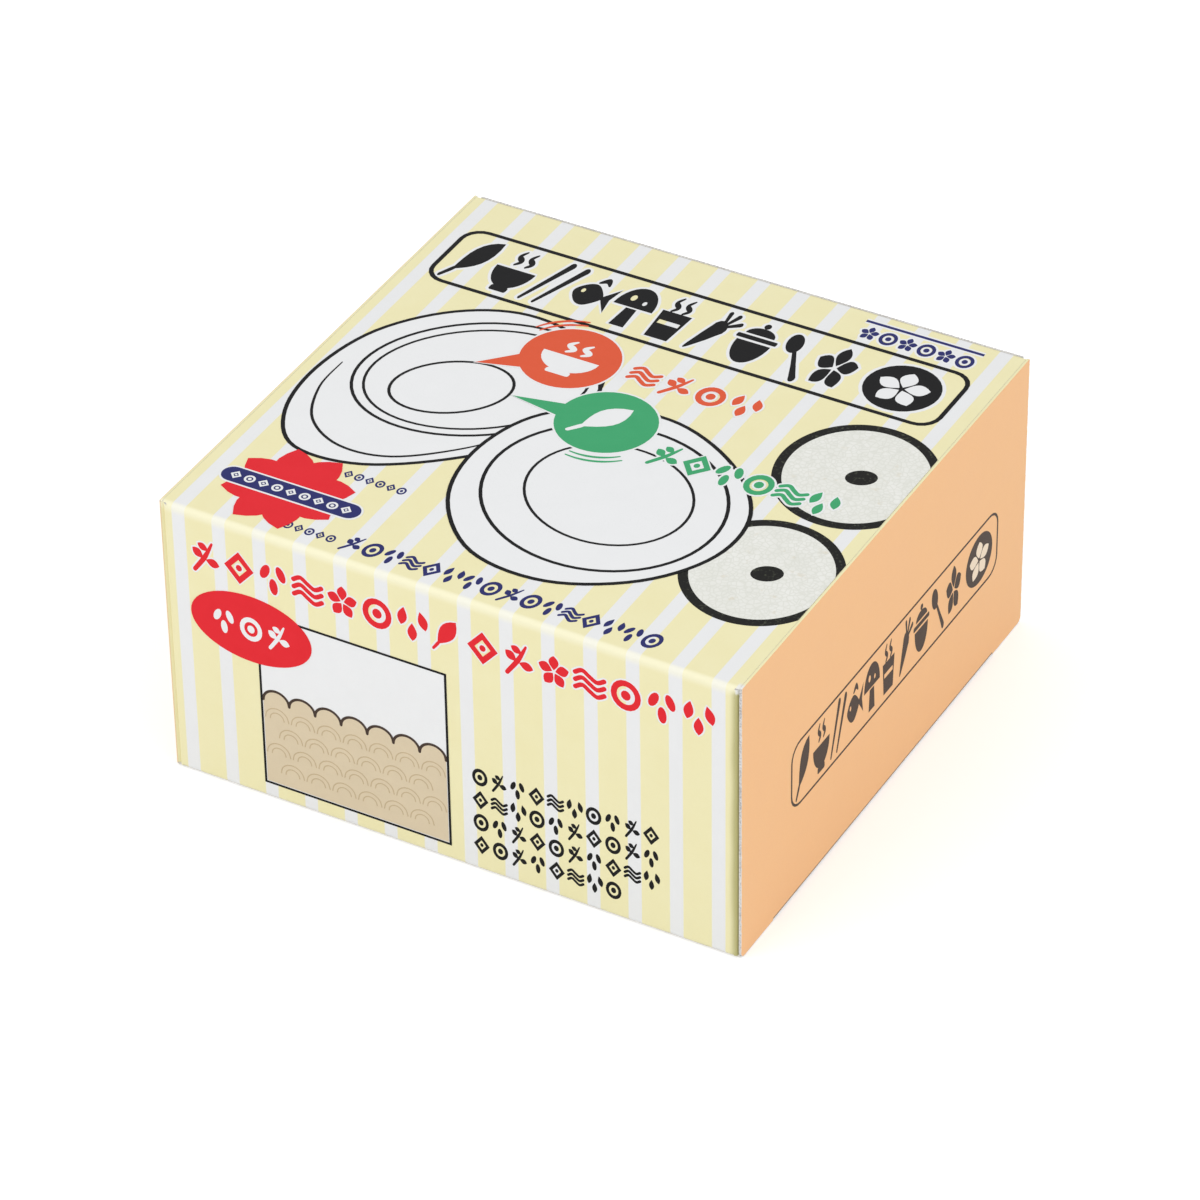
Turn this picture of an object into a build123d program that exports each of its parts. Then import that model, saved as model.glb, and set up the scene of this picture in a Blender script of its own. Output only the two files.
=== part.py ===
from build123d import *
import os
from math import asin, degrees, radians, sin, sqrt, tan

os.makedirs("parts", exist_ok=True)

# A folding carton with two tuck ends, which holds a rice ball mould.
# X runs from the left end to the right end, Y from front to back, Z up.
# The origin is the middle of the face that the carton stands on.

# Carton, outside sizes
carton_length = 120.0
carton_depth = 115.5
carton_height = 61.5
card = 0.5

# Creases, outer radii and fold angles
sleeve_crease = 1.2
flap_crease = 1.2
tuck_crease = 0.9
half_fold = 45.0
dust_fold = 110.0
tuck_fold = 150.0

# Air between sheets of card
fold_gap = 0.05
sheet_gap = 0.15
glue_line = 0.05

# Panels and flaps
glue_flap_width = 14.0
glue_flap_angle = 30.0
back_edge_drop = 0.3
end_panel_side_gap = 0.3
end_panel_foot_gap = 0.1
end_panel_corner = 1.0
slit_lock = 13.0
slit_width = 0.4
tuck_length = 14.0
tuck_corner = 9.0
tuck_fold_share = 0.25
tuck_tilt_margin = 1.1
dust_flap_length = 40.0
dust_flap_corner = 6.0
dust_flap_slope = 0.5
dust_flap_relief = 1.3
dust_flap_shoulder_gap = 0.6
dust_flap_lift = 2.3

# Mould, a family of parallel outlines about three corner centres
corner_distance = 24.0
side_distance = 60.0
cavity_floor_radius = 15.0
cavity_mouth_radius = 20.0
rim_width = 5.0
rim_bevel = 0.5
mould_wall = 1.5
case_height = 48.0
cavity_depth = 38.0
cavity_floor_blend = 6.0
cup_foot_bevel = 4.0
collar_height = 7.5
skirt_foot_height = 3.0
floor_join_radius = 8.0
mould_seat_gap = 0.25
mould_side_room = 2.25

# Press-out tongue
tab_scale = 0.38
tab_radius = 7.5
tab_slit = 1.6
tab_neck_width = 10.0
tab_hinge_gap = 0.3

# Lid
lid_seat_gap = 0.1
lid_side_gap = 0.4
lid_wall = 1.5
lid_plug_depth = 9.0
lid_lip_depth = 5.0
lid_edge_bevel = 1.2

half_length = carton_length / 2
half_depth = carton_depth / 2

# The end panels turn about the middle of the card's thickness
end_crease = card / 2 + fold_gap
end_axis_x = half_length - end_crease
end_axis_z = carton_height - end_crease
end_inner_x = half_length - card

# The dust flaps turn about upright axes behind the end panels
dust_outer_x = end_inner_x - sheet_gap
dust_axis_x = dust_outer_x - flap_crease
dust_axis_y = half_depth - flap_crease

# The tuck flaps turn about the foot of the end panels
tuck_axis_x = half_length - tuck_crease
tuck_axis_z = card + sheet_gap + tuck_crease
tuck_half_width = half_depth - slit_lock
end_swing = end_axis_z - tuck_axis_z
tuck_tilt = tuck_tilt_margin * degrees(tuck_length * (1 - tuck_fold_share) ** 2 / (2 * end_swing))

# How far the centre of a side arc lies from the corner centres that the arc joins
side_reach = sqrt(side_distance**2 + corner_distance**2 + side_distance * corner_distance)

# The mould stands on the tips of the tuck flaps, centred, with its skirt as wide as the carton lets it
mould_x = -(corner_distance + side_distance - side_reach) / 2
tuck_tip_top = tuck_axis_z - tuck_crease + card + tuck_length * sin(radians(tuck_tilt))
mould_z = tuck_tip_top + mould_seat_gap
mould_place = Pos(mould_x, 0, mould_z)
rim_radius = cavity_mouth_radius + rim_width
skirt_foot_radius = half_depth - card - mould_side_room - corner_distance * sin(radians(60))
cavity_floor_z = case_height - cavity_depth

# The tongue hangs from the straightest stretch of the slit, on the side away from the apex
tab_hole_radius = tab_radius + tab_slit + side_reach * tab_scale
tab_hole_edge = tab_hole_radius - side_distance * tab_scale
tab_edge_dip = tab_hole_radius - sqrt(tab_hole_radius**2 - (tab_neck_width / 2) ** 2)
tab_hinge_x = -(tab_hole_edge - tab_edge_dip - tab_hinge_gap - mould_wall / 2)


def bend(radius, start, arc):
    """Cross-section of folded card: part of a ring, one card thick, about the origin."""
    outer = CenterArc((0, 0), radius, start, arc)
    inner = CenterArc((0, 0), radius - card, start, arc)
    return make_face([outer, Line(outer @ 1, inner @ 1), inner, Line(inner @ 0, outer @ 0)])


def strip(low_x, low_y, high_x, high_y):
    """Rectangle between two opposite corners."""
    middle = Pos((low_x + high_x) / 2, (low_y + high_y) / 2)
    return middle * Rectangle(high_x - low_x, high_y - low_y)


def sleeve_piece(section, half_run):
    """Extrude a section of the sleeve, drawn in Y and Z, to both sides along X."""
    return extrude(Plane.YZ * section, half_run, both=True)


def upright_fold_room():
    """The four upright cylinders that the dust flaps' folds turn in."""
    room = []
    for side_x in (-1, 1):
        for side_y in (-1, 1):
            place = Pos(side_x * dust_axis_x, side_y * dust_axis_y, carton_height / 2)
            room.append(place * Cylinder(flap_crease + fold_gap, carton_height))
    return room


def top_panel():
    """Sheet between the end creases, with half a bend along its front and half along its back."""
    fold_y = half_depth - card - glue_line - sleeve_crease
    bend_z = carton_height - sleeve_crease
    section = strip(-half_depth + sleeve_crease, carton_height - card, fold_y, carton_height)
    section += Pos(-half_depth + sleeve_crease, bend_z) * bend(sleeve_crease, 90, half_fold)
    section += Pos(fold_y, bend_z) * bend(sleeve_crease, 90 - half_fold, half_fold)
    return sleeve_piece(section, end_axis_x - end_crease - fold_gap)


def glue_flap():
    """Flap that goes on from the top panel's back bend and is glued inside the back panel."""
    face_y = half_depth - card - glue_line
    top_z = carton_height - sleeve_crease
    foot_z = top_z - glue_flap_width
    section = strip(face_y - card, foot_z, face_y, top_z)
    section += Pos(face_y - sleeve_crease, top_z) * bend(sleeve_crease, 0, half_fold)
    long_half = dust_axis_x - flap_crease - sheet_gap
    short_half = long_half - glue_flap_width * tan(radians(glue_flap_angle))
    outline = Polyline(
        (-long_half, carton_height), (long_half, carton_height), (long_half, top_z),
        (short_half, foot_z), (-short_half, foot_z), (-long_half, top_z), close=True)
    cutter = extrude(Plane.XZ * make_face(outline), carton_depth, both=True)
    return sleeve_piece(section, long_half) & cutter


def front_panel():
    """Front wall, with half a bend above and half a bend below."""
    low_z = sleeve_crease
    high_z = carton_height - sleeve_crease
    section = strip(-half_depth, low_z, -half_depth + card, high_z)
    section += Pos(-half_depth + sleeve_crease, high_z) * bend(sleeve_crease, 180 - half_fold, half_fold)
    section += Pos(-half_depth + sleeve_crease, low_z) * bend(sleeve_crease, 180, half_fold)
    panel = sleeve_piece(section, dust_axis_x)
    for room in upright_fold_room():
        panel -= room
    return panel


def back_panel():
    """Back wall, whose top edge is cut just below the top panel's face."""
    section = strip(half_depth - card, sleeve_crease, half_depth, carton_height - back_edge_drop)
    section += Pos(half_depth - sleeve_crease, sleeve_crease) * bend(sleeve_crease, -half_fold, half_fold)
    panel = sleeve_piece(section, dust_axis_x)
    for room in upright_fold_room():
        panel -= room
    return panel


def bottom_panel():
    """Floor of the carton, with half a bend along its front and half along its back."""
    section = strip(-half_depth + sleeve_crease, 0, half_depth - sleeve_crease, card)
    section += Pos(-half_depth + sleeve_crease, sleeve_crease) * bend(sleeve_crease, 270 - half_fold, half_fold)
    section += Pos(half_depth - sleeve_crease, sleeve_crease) * bend(sleeve_crease, 270, half_fold)
    return sleeve_piece(section, dust_outer_x)


def right_end_panel():
    """Panel in the YZ plane, with its crease barrel at the top and a slit lock at its foot."""
    half_width = half_depth - end_panel_side_gap
    middle_z = (end_panel_foot_gap + carton_height) / 2
    outline = Pos(0, middle_z) * RectangleRounded(
        2 * half_width, carton_height - end_panel_foot_gap, end_panel_corner)
    notch_half = tuck_half_width + slit_width
    outline -= strip(-notch_half, 0, notch_half, tuck_axis_z)
    blank = extrude(Plane.YZ * outline, carton_length)
    barrel = Pos(end_axis_x, 0, end_axis_z) * Rot(90, 0, 0) * Cylinder(end_crease, 2 * half_width)
    sheet = Pos(half_length - card / 2, 0, end_axis_z / 2) * Box(card, 2 * half_width, end_axis_z)
    fold_room = Pos(tuck_axis_x, 0, tuck_axis_z) * Rot(90, 0, 0) * Cylinder(tuck_crease + fold_gap, 2 * notch_half)
    return (sheet + barrel) & blank - fold_room


def right_tuck_flap():
    """Flap that folds in at the panel's foot, and lies tilted up so that its tip clears the bottom panel."""
    section = bend(tuck_crease, -90, tuck_fold)
    section += strip(-tuck_length, -tuck_crease, 0, -tuck_crease + card)
    flap = extrude(Plane.XZ * section, tuck_half_width, both=True)
    corners = flap.edges().filter_by(Axis.Z).group_by(Axis.X)[0]
    flap = fillet(corners, tuck_corner)
    return Pos(tuck_axis_x, 0, tuck_axis_z) * Rot(0, tuck_tilt, 0) * flap


def right_front_dust_flap():
    """Flap on the front panel, cut away above for the swing of the end panel and below for the tuck flap."""
    top_z = carton_height - sleeve_crease - dust_flap_relief
    low_z = sleeve_crease + end_crease
    lift_z = tuck_axis_z + dust_flap_lift
    shoulder = slit_lock - dust_flap_shoulder_gap - flap_crease
    tip_z = top_z - dust_flap_slope * dust_flap_length
    past_fold = -2 * flap_crease
    outline = make_face(Polyline(
        (past_fold, low_z), (shoulder, low_z), (shoulder, lift_z), (dust_flap_length, lift_z),
        (dust_flap_length, tip_z), (0, top_z), (past_fold, top_z), close=True))
    tip_corners = outline.vertices().group_by(Axis.X)[-1]
    outline = fillet(tip_corners, dust_flap_corner)
    section = bend(flap_crease, -dust_fold, dust_fold)
    section += strip(flap_crease - card, 0, flap_crease, dust_flap_length)
    sheet = extrude(section, carton_height)
    cutter = extrude(Plane.YZ * outline, carton_length, both=True)
    return Pos(dust_axis_x, -dust_axis_y, 0) * (sheet & cutter)


def triangle_arcs(scale=1.0):
    """Centre, extra radius, start angle and arc of the six tangent arcs round a rounded triangle.

    The apex is on +X. A corner arc has the outline's radius. A side arc is wide, and its centre lies
    beyond the middle, so the sides swell and every outline of the family is parallel to the others.
    """
    corner_half = degrees(asin(side_distance * sin(radians(60)) / side_reach))
    side_half = 60 - corner_half
    arcs = []
    for turn in (0, 120, 240):
        corner = Vector(corner_distance * scale, 0).rotate(Axis.Z, turn)
        centre = Vector(-side_distance * scale, 0).rotate(Axis.Z, turn + 60)
        arcs.append((corner, 0, turn - corner_half, 2 * corner_half))
        arcs.append((centre, side_reach * scale, turn + 60 - side_half, 2 * side_half))
    return arcs


def rounded_triangle(radius, scale=1.0):
    """Filled outline of the family, at a given corner radius."""
    edges = []
    for centre, extra, start, arc in triangle_arcs(scale):
        edges.append(CenterArc(centre, radius + extra, start, arc))
    return make_face(edges)


def wall_round(section):
    """Carry a wall section, drawn as corner radius and height, all the way round the triangle."""
    wall = None
    for centre, extra, start, arc in triangle_arcs():
        spoke = Pos(centre) * Rot(0, 0, start) * (Plane.XZ * (Pos(extra, 0) * section))
        piece = revolve(spoke, Axis(centre, (0, 0, 1)), arc)
        wall = piece if wall is None else wall + piece
    return wall


def corner_at(face, point):
    """The corner of a wall section that lies at a point."""
    return face.vertices().sort_by_distance(Vector(*point))[0]


def mould_case():
    """Cup with a drafted wall, hung from a rim whose skirt flares out to the foot that it stands on."""
    skirt_top = case_height - collar_height
    under_rim = case_height - mould_wall
    floor_low = cavity_floor_z - mould_wall
    rim_outside = (rim_radius, case_height)
    cavity_foot = (cavity_floor_radius, cavity_floor_z)
    cup_foot = (cavity_floor_radius + mould_wall, floor_low)
    section = make_face(Polyline(
        (skirt_foot_radius, 0), (skirt_foot_radius, skirt_foot_height), (rim_radius, skirt_top),
        rim_outside, (cavity_mouth_radius, case_height), cavity_foot, (floor_join_radius, cavity_floor_z),
        (floor_join_radius, floor_low), cup_foot, (cavity_mouth_radius + mould_wall, under_rim),
        (rim_radius - mould_wall, under_rim), (rim_radius - mould_wall, skirt_top),
        (skirt_foot_radius - mould_wall, skirt_foot_height), (skirt_foot_radius - mould_wall, 0), close=True))
    section = fillet(corner_at(section, cavity_foot), cavity_floor_blend)
    section = chamfer(corner_at(section, cup_foot), cup_foot_bevel)
    section = chamfer(corner_at(section, rim_outside), rim_bevel)
    floor = extrude(rounded_triangle(floor_join_radius), mould_wall)
    opening = extrude(rounded_triangle(tab_radius + tab_slit, tab_scale), 3 * mould_wall, both=True)
    case = wall_round(section) + Pos(0, 0, floor_low) * floor
    return mould_place * (case - Pos(0, 0, floor_low) * opening)


def push_tab():
    """Tongue in the floor of the case, joined by a short neck whose rounded root is its living hinge."""
    tongue = extrude(rounded_triangle(tab_radius, tab_scale), mould_wall)
    root = Pos(tab_hinge_x, 0, mould_wall / 2) * Rot(90, 0, 0) * Cylinder(mould_wall / 2, tab_neck_width)
    neck = Pos(tab_hinge_x / 2, 0, mould_wall / 2) * Box(-tab_hinge_x, tab_neck_width, mould_wall)
    tongue += neck
    tongue += root
    return mould_place * Pos(0, 0, cavity_floor_z - mould_wall) * tongue


def mould_lid():
    """Dished lid: a plug that presses the rice, a flange that rests on the rim and a lip round the collar."""
    flange_low = case_height + lid_seat_gap
    flange_top = flange_low + lid_wall
    plug_low = case_height - lid_plug_depth
    draft = (cavity_mouth_radius - cavity_floor_radius) / cavity_depth
    plug_mouth = cavity_mouth_radius - lid_side_gap
    plug_foot = plug_mouth - draft * lid_plug_depth
    lip_inner = rim_radius + lid_side_gap
    plug_edge = (plug_foot, plug_low)
    flange_edge = (lip_inner + lid_wall, flange_top)
    section = make_face(Polyline(
        (floor_join_radius, plug_low), plug_edge, (plug_mouth, flange_low), (lip_inner, flange_low),
        (lip_inner, case_height - lid_lip_depth), (lip_inner + lid_wall, case_height - lid_lip_depth),
        flange_edge, (plug_mouth - lid_wall, flange_top), (plug_foot - lid_wall, plug_low + lid_wall),
        (floor_join_radius, plug_low + lid_wall), close=True))
    section = chamfer(corner_at(section, plug_edge), lid_edge_bevel)
    section = chamfer(corner_at(section, flange_edge), lid_edge_bevel)
    floor = extrude(rounded_triangle(floor_join_radius), lid_wall)
    return mould_place * (wall_round(section) + Pos(0, 0, plug_low) * floor)


def export_parts():
    right_end = {
        "end_panel": right_end_panel(),
        "tuck_flap": right_tuck_flap(),
        "front_dust_flap": right_front_dust_flap(),
    }
    right_end["back_dust_flap"] = mirror(right_end["front_dust_flap"], Plane.XZ)
    parts = {
        "top_panel": top_panel(),
        "front_panel": front_panel(),
        "back_panel": back_panel(),
        "bottom_panel": bottom_panel(),
        "glue_flap": glue_flap(),
        "mould_case": mould_case(),
        "push_tab": push_tab(),
        "mould_lid": mould_lid(),
    }
    for name, shape in right_end.items():
        parts["right_" + name] = shape
        parts["left_" + name] = mirror(shape, Plane.YZ)
    for name, shape in parts.items():
        export_step(shape, "parts/" + name + ".step")


def print_places():
    """Where the hinges and the mould lie, in millimetres."""
    print("end panels turn at x", round(end_axis_x, 4), "z", round(end_axis_z, 4))
    print("tuck flaps turn at x", round(tuck_axis_x, 4), "z", round(tuck_axis_z, 4))
    print("dust flaps turn at x", round(dust_axis_x, 4), "y", round(dust_axis_y, 4))
    tab_axis_z = mould_z + cavity_floor_z - mould_wall / 2
    print("push tab turns at x", round(mould_x + tab_hinge_x, 4), "z", round(tab_axis_z, 4))
    print("mould stands at x", round(mould_x, 4), "z", round(mould_z, 4))
    print("skirt foot radius", round(skirt_foot_radius, 4), "tuck tilt", round(tuck_tilt, 4))


export_parts()
print_places()
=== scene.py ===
# %% [markdown]
# # A boxed rice ball mould
# The real object is a folding carton with tucked ends, printed in yellow and white stripes, and a white
# plastic mould with its lid inside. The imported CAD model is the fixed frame, and this lesson dresses it:
# card that looks like coated board, ink that sits on the card, and moulded plastic.

# %% Load the frame
import math

import bmesh
import bpy
from mathutils import Matrix, Vector
from mathutils.geometry import intersect_line_line_2d


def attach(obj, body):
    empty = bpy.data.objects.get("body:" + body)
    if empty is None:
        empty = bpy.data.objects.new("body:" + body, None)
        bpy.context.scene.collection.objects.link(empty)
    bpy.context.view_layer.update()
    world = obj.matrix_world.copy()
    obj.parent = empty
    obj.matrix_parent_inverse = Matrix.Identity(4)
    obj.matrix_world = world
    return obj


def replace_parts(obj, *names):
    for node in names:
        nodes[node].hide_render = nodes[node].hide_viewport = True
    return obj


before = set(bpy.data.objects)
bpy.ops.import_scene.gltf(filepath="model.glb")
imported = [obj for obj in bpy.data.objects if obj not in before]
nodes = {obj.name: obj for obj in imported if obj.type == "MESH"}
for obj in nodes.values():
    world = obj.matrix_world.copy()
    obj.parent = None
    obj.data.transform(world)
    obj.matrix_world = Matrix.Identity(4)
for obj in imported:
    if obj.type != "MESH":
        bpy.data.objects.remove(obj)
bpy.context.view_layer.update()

# %% [markdown]
# Sizes are written in millimetres, as on a carton maker's drawing, and a piece is scaled to metres when it
# is put in place. The printed faces lie a little below the faces of the CAD model, so that the ink, which is
# modelled as thin plates, ends up inside the model's box. One layer of ink is far thicker here than on real
# card, yet still too thin to see.

# %% Sizes of the carton
MM = 0.001  # one millimetre, in metres
HALF_LENGTH, HALF_DEPTH, HEIGHT = 60.0, 57.75, 61.5
CARD = 0.36  # thickness of a sheet
END_CARD = 0.5  # thickness of an end panel
RECESS = 0.14  # from the CAD model's face down to the printed face
LAYER = 0.018  # one layer of ink
CREASE = 1.2  # from the CAD model's edge to where a rolled crease begins
FOLD = 0.75  # radius of a dust flap's fold
DUST_AXIS_X = 58.15
TUCK_AXIS_X, TUCK_AXIS_Z = 59.1, 1.55
END_HALF_WIDTH = 57.45
TOP_REACH = 59.31  # from the middle of the top card to each of its ends
TO_METRES = Matrix.Scale(MM, 4)
X, Y, Z = Vector((1, 0, 0)), Vector((0, 1, 0)), Vector((0, 0, 1))


def face_frame(across, up, out, reach):
    """Matrix that carries a drawing (across, up, out) onto a face of the carton."""
    matrix = Matrix((across, up, out)).transposed().to_4x4()
    matrix.translation = out * (reach - RECESS)
    return TO_METRES @ matrix


FACES = {
    "top": face_frame(X, Y, Z, HEIGHT),
    "front": face_frame(X, Z, -Y, HALF_DEPTH),
    "back": face_frame(-X, Z, Y, HALF_DEPTH),
    "right": face_frame(Y, Z, X, HALF_LENGTH),
    "left": face_frame(-Y, Z, -X, HALF_LENGTH),
}
RIDES = {"top": "carton", "front": "carton", "back": "carton",
         "right": "right_end_panel", "left": "left_end_panel"}
print("faces", sorted(FACES), "ink layer", LAYER, "mm")

# %% [markdown]
# A material is a small machine of nodes. The class Wire stands for one link and lets a sum be written as a
# sum, and the class Finish makes the other nodes: their settings come first, then the values or links of
# their sockets. Colours are given as a designer reads them from a screen, from 0 to 255.

# %% Helpers for materials


class Wire:
    """A value on a link, with which sums can be written."""

    def __init__(self, finish, socket):
        self.finish = finish
        self.socket = socket

    def __add__(self, other):
        return self.finish.maths("ADD", self, other)

    def __sub__(self, other):
        return self.finish.maths("SUBTRACT", self, other)

    def __rsub__(self, other):
        return self.finish.maths("SUBTRACT", other, self)

    def __mul__(self, other):
        return self.finish.maths("MULTIPLY", self, other)

    def __abs__(self):
        return self.finish.maths("ABSOLUTE", self)

    __radd__ = __add__
    __rmul__ = __mul__


def colour(red, green, blue):
    """Screen colour as Blender's linear colour."""
    parts = []
    for part in (red, green, blue):
        share = part / 255
        parts.append(share / 12.92 if share <= 0.04045 else ((share + 0.055) / 1.055) ** 2.4)
    return (*parts, 1.0)


class Finish:
    """One material. Its place, in millimetres, comes from the piece's own coordinates."""

    def __init__(self, name, **constants):
        self.material = bpy.data.materials.new(name)
        self.material.use_nodes = True
        self.tree = self.material.node_tree
        self.shader = self.tree.nodes["Principled BSDF"]
        for socket, value in constants.items():
            self.shader.inputs[socket.replace("_", " ")].default_value = value
        metres = self.node("ShaderNodeTexCoord", output="Object")
        self.place = self.node("ShaderNodeVectorMath", {"operation": "SCALE"}, {0: metres, 3: 1 / MM})
        self.x, self.y, self.z = (
            self.node("ShaderNodeSeparateXYZ", {}, {0: self.place}, axis) for axis in range(3))

    def node(self, kind, settings=(), values=(), output=0):
        made = self.tree.nodes.new(kind)
        for setting, value in dict(settings).items():
            setattr(made, setting, value)
        for socket, value in dict(values).items():
            if isinstance(value, Wire):
                self.tree.links.new(value.socket, made.inputs[socket])
            else:
                made.inputs[socket].default_value = value
        return Wire(self, made.outputs[output])

    def maths(self, operation, *values):
        return self.node("ShaderNodeMath", {"operation": operation}, dict(enumerate(values)))

    def rise(self, value, low, high):
        """0 below low, 1 above high, and smooth between them. It falls where low is the greater."""
        return self.node("ShaderNodeMapRange", {"interpolation_type": "SMOOTHSTEP"},
                         {"Value": value, "From Min": low, "From Max": high})

    def noise(self, size, detail=2.0):
        """Soft clouds, from 0 to 1, with spots about size millimetres wide."""
        return self.node("ShaderNodeTexNoise", {}, {
            "Vector": self.place, "Scale": 1 / size, "Detail": detail})

    def blend(self, share, first, second):
        """Mix two colours."""
        return self.node("ShaderNodeMix", {"data_type": "RGBA"}, {0: share, 6: first, 7: second}, 2)

    def wire(self, socket, value):
        self.tree.links.new(value.socket, self.shader.inputs[socket])

    def bump(self, height, distance, strength=1.0):
        """Distance is in millimetres."""
        self.wire("Normal", self.node("ShaderNodeBump", {}, {
            "Strength": strength, "Distance": distance * MM, "Height": height}))


print("helpers for materials are ready")

# %% [markdown]
# The carton is white coated board, printed on its outer side. Coated board is satin: it has a faint mottle
# and takes light softly. Along the front crease a pale band is painted on as a highlight. The stripes could
# be painted on a picture, but a rule is better here: a point's X, wrapped at the pitch of the stripes, says
# whether it lies on a white one, so they run on over the front crease as the real ones do. The print ends
# 3 mm past the upright folds, so the dust flaps are bare, and a hair of orange runs along the left edge.
# The fold at the right front corner is darkened with painted shade.

# %% Printed, striped card
STRIPE_PITCH, STRIPE_WIDTH, STRIPE_BLUR = 8.558, 2.75, 0.08
STRIPE_FIRST = -55.9
BOARD_WHITE = colour(236, 237, 238)


def coated(card, face, mottle, fibre):
    """Give card the colour of its face, and the satin skin of coated board."""
    card.wire("Base Color", face)
    card.wire("Roughness", 0.42 + mottle * 0.16)
    card.bump(fibre * 0.5 + mottle, 0.02)
    return card.material


def striped_card():
    card = Finish("striped card", Roughness=0.5, IOR=1.45)
    past_stripe = card.maths("WRAP", card.x - STRIPE_FIRST, STRIPE_PITCH / 2, -STRIPE_PITCH / 2)
    white = card.rise(abs(past_stripe), STRIPE_WIDTH / 2 + STRIPE_BLUR, STRIPE_WIDTH / 2 - STRIPE_BLUR)
    mottle = card.noise(5.0, 4.0)
    fibre = card.noise(0.5, 3.0)
    yellow = card.blend(mottle, colour(238, 230, 180), colour(242, 236, 192))
    yellow = card.blend(fibre * 0.25, yellow, colour(233, 226, 172))
    paper = card.blend(mottle, colour(232, 233, 234), BOARD_WHITE)
    face = card.blend(white, yellow, paper)

    # A painted highlight runs along the front crease.
    painted_crease_shading = card.rise(card.y * -1.0, 56.3, 57.2) * card.rise(card.z, 58.9, 60.6)
    face = card.blend(painted_crease_shading * 0.55, face, colour(253, 250, 222))
    # Painted shade, tinted olive, darkens the fold at the right front corner where it turns away from the
    # light.
    spread = card.noise(14.0, 1.0) * 0.8
    at_front = card.rise(card.y, -56.0, -56.7)
    painted_fold_shade = card.rise(card.x + spread, 57.6, 59.4) * at_front * card.rise(card.z, 61.1, 59.6)
    face = card.blend(painted_fold_shade * 0.85, face, colour(168, 163, 98))

    # The upper corner above that fold is worn down to the board.
    rubbed = card.rise(card.x + card.noise(1.2, 3.0) * 0.5, 58.7, 59.05)
    worn = rubbed * card.rise(card.z + card.noise(0.9, 3.0), 60.0, 60.9)
    face = card.blend(worn * card.rise(card.y, -55.5, -56.8), face, colour(236, 236, 232))

    # Past their folds the dust flaps are bare, and orange runs along the left edge.
    past_fold = card.rise(abs(card.x), 58.9, 59.05) * card.rise(abs(card.y), 54.3, 54.1)
    face = card.blend(past_fold * card.rise(card.z, 60.95, 60.75), face, paper)
    brim = card.rise(card.x * -1.0, 59.6, 59.8)
    face = card.blend(brim * 0.6, face, colour(226, 182, 142))
    return coated(card, face, mottle, fibre)


STRIPED = striped_card()
print("stripes", STRIPE_WIDTH, "mm wide, every", STRIPE_PITCH, "mm")

# %% [markdown]
# The ends are one flat orange. Up close that is never one colour: the ink lies a little thinner here and
# there, and at the cut edges the white board looks through where the ink has chipped. Along the crease at the
# foot, where the tuck flap turns under, a dark line of painted shadow stands for the shade in the gap below
# it.

# %% Orange card, raw board and plain board


def orange_card():
    card = Finish("orange card", Roughness=0.5, IOR=1.45)
    mottle = card.noise(7.0, 4.0)
    fibre = card.noise(0.4, 3.0)
    orange = card.blend(mottle, colour(243, 188, 131), colour(247, 196, 141))
    orange = card.blend(fibre * 0.45, orange, colour(238, 180, 124))
    side = abs(card.y)
    chips = card.rise(side + card.noise(0.9, 3.0) * 0.5, 57.5, 57.7)
    foot = card.rise(card.noise(0.9, 3.0) * 0.5 - card.z, -0.1, 0.1)
    face = card.blend(chips, orange, BOARD_WHITE)
    face = card.blend(foot * 0.7, face, BOARD_WHITE)
    # Painted shadow: a dark line along the crease at the foot, for the shaded gap under the tuck fold.
    painted_crease_shading = card.rise(card.z + card.noise(2.5) * 0.1, 0.86, 0.74) * card.rise(side, 45.1, 44.9)
    face = card.blend(painted_crease_shading * 0.8, face, colour(92, 66, 54))
    return coated(card, face, mottle, fibre)


def raw_board(name, pale, dark):
    board = Finish(name, Roughness=0.8, IOR=1.4)
    fibre = board.noise(0.35, 5.0)
    cloud = board.noise(6.0, 3.0)
    face = board.blend(board.rise(fibre * 0.7 + cloud * 0.3, 0.35, 0.62), dark, pale)
    board.wire("Base Color", face)
    board.wire("Roughness", 0.7 + fibre * 0.2)
    board.bump(fibre, 0.05)
    return board.material


ORANGE = orange_card()
RAW = raw_board("raw board", colour(226, 224, 221), colour(172, 168, 165))
INSIDE = raw_board("inside of the board", colour(235, 233, 228), colour(224, 221, 214))
print("card finishes", ORANGE.name, RAW.name, INSIDE.name)

# %% [markdown]
# Most pieces of card are made alike: a flat plane of the printed side, rolled at its creases with Spin, as a
# carton is folded from a flat sheet. Solidify then gives it its thickness, and puts raw board on the cut
# edges and plain board inside. Faces and edges are picked by their place, since no mouse picks them here.

# %% Helpers for modelling
PLANE = bpy.ops.mesh.primitive_plane_add
CUBE = bpy.ops.mesh.primitive_cube_add
MERGE_DISTANCE = 0.0002
SMOOTH_ANGLE = math.radians(35)
NEAR = 0.01  # a point this close to a plane lies on it


def clear_selection():
    """Leave edit mode, with nothing selected."""
    if bpy.context.object and bpy.context.object.mode != "OBJECT":
        bpy.ops.object.mode_set(mode="OBJECT")
    bpy.ops.object.select_all(action="DESELECT")


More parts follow.
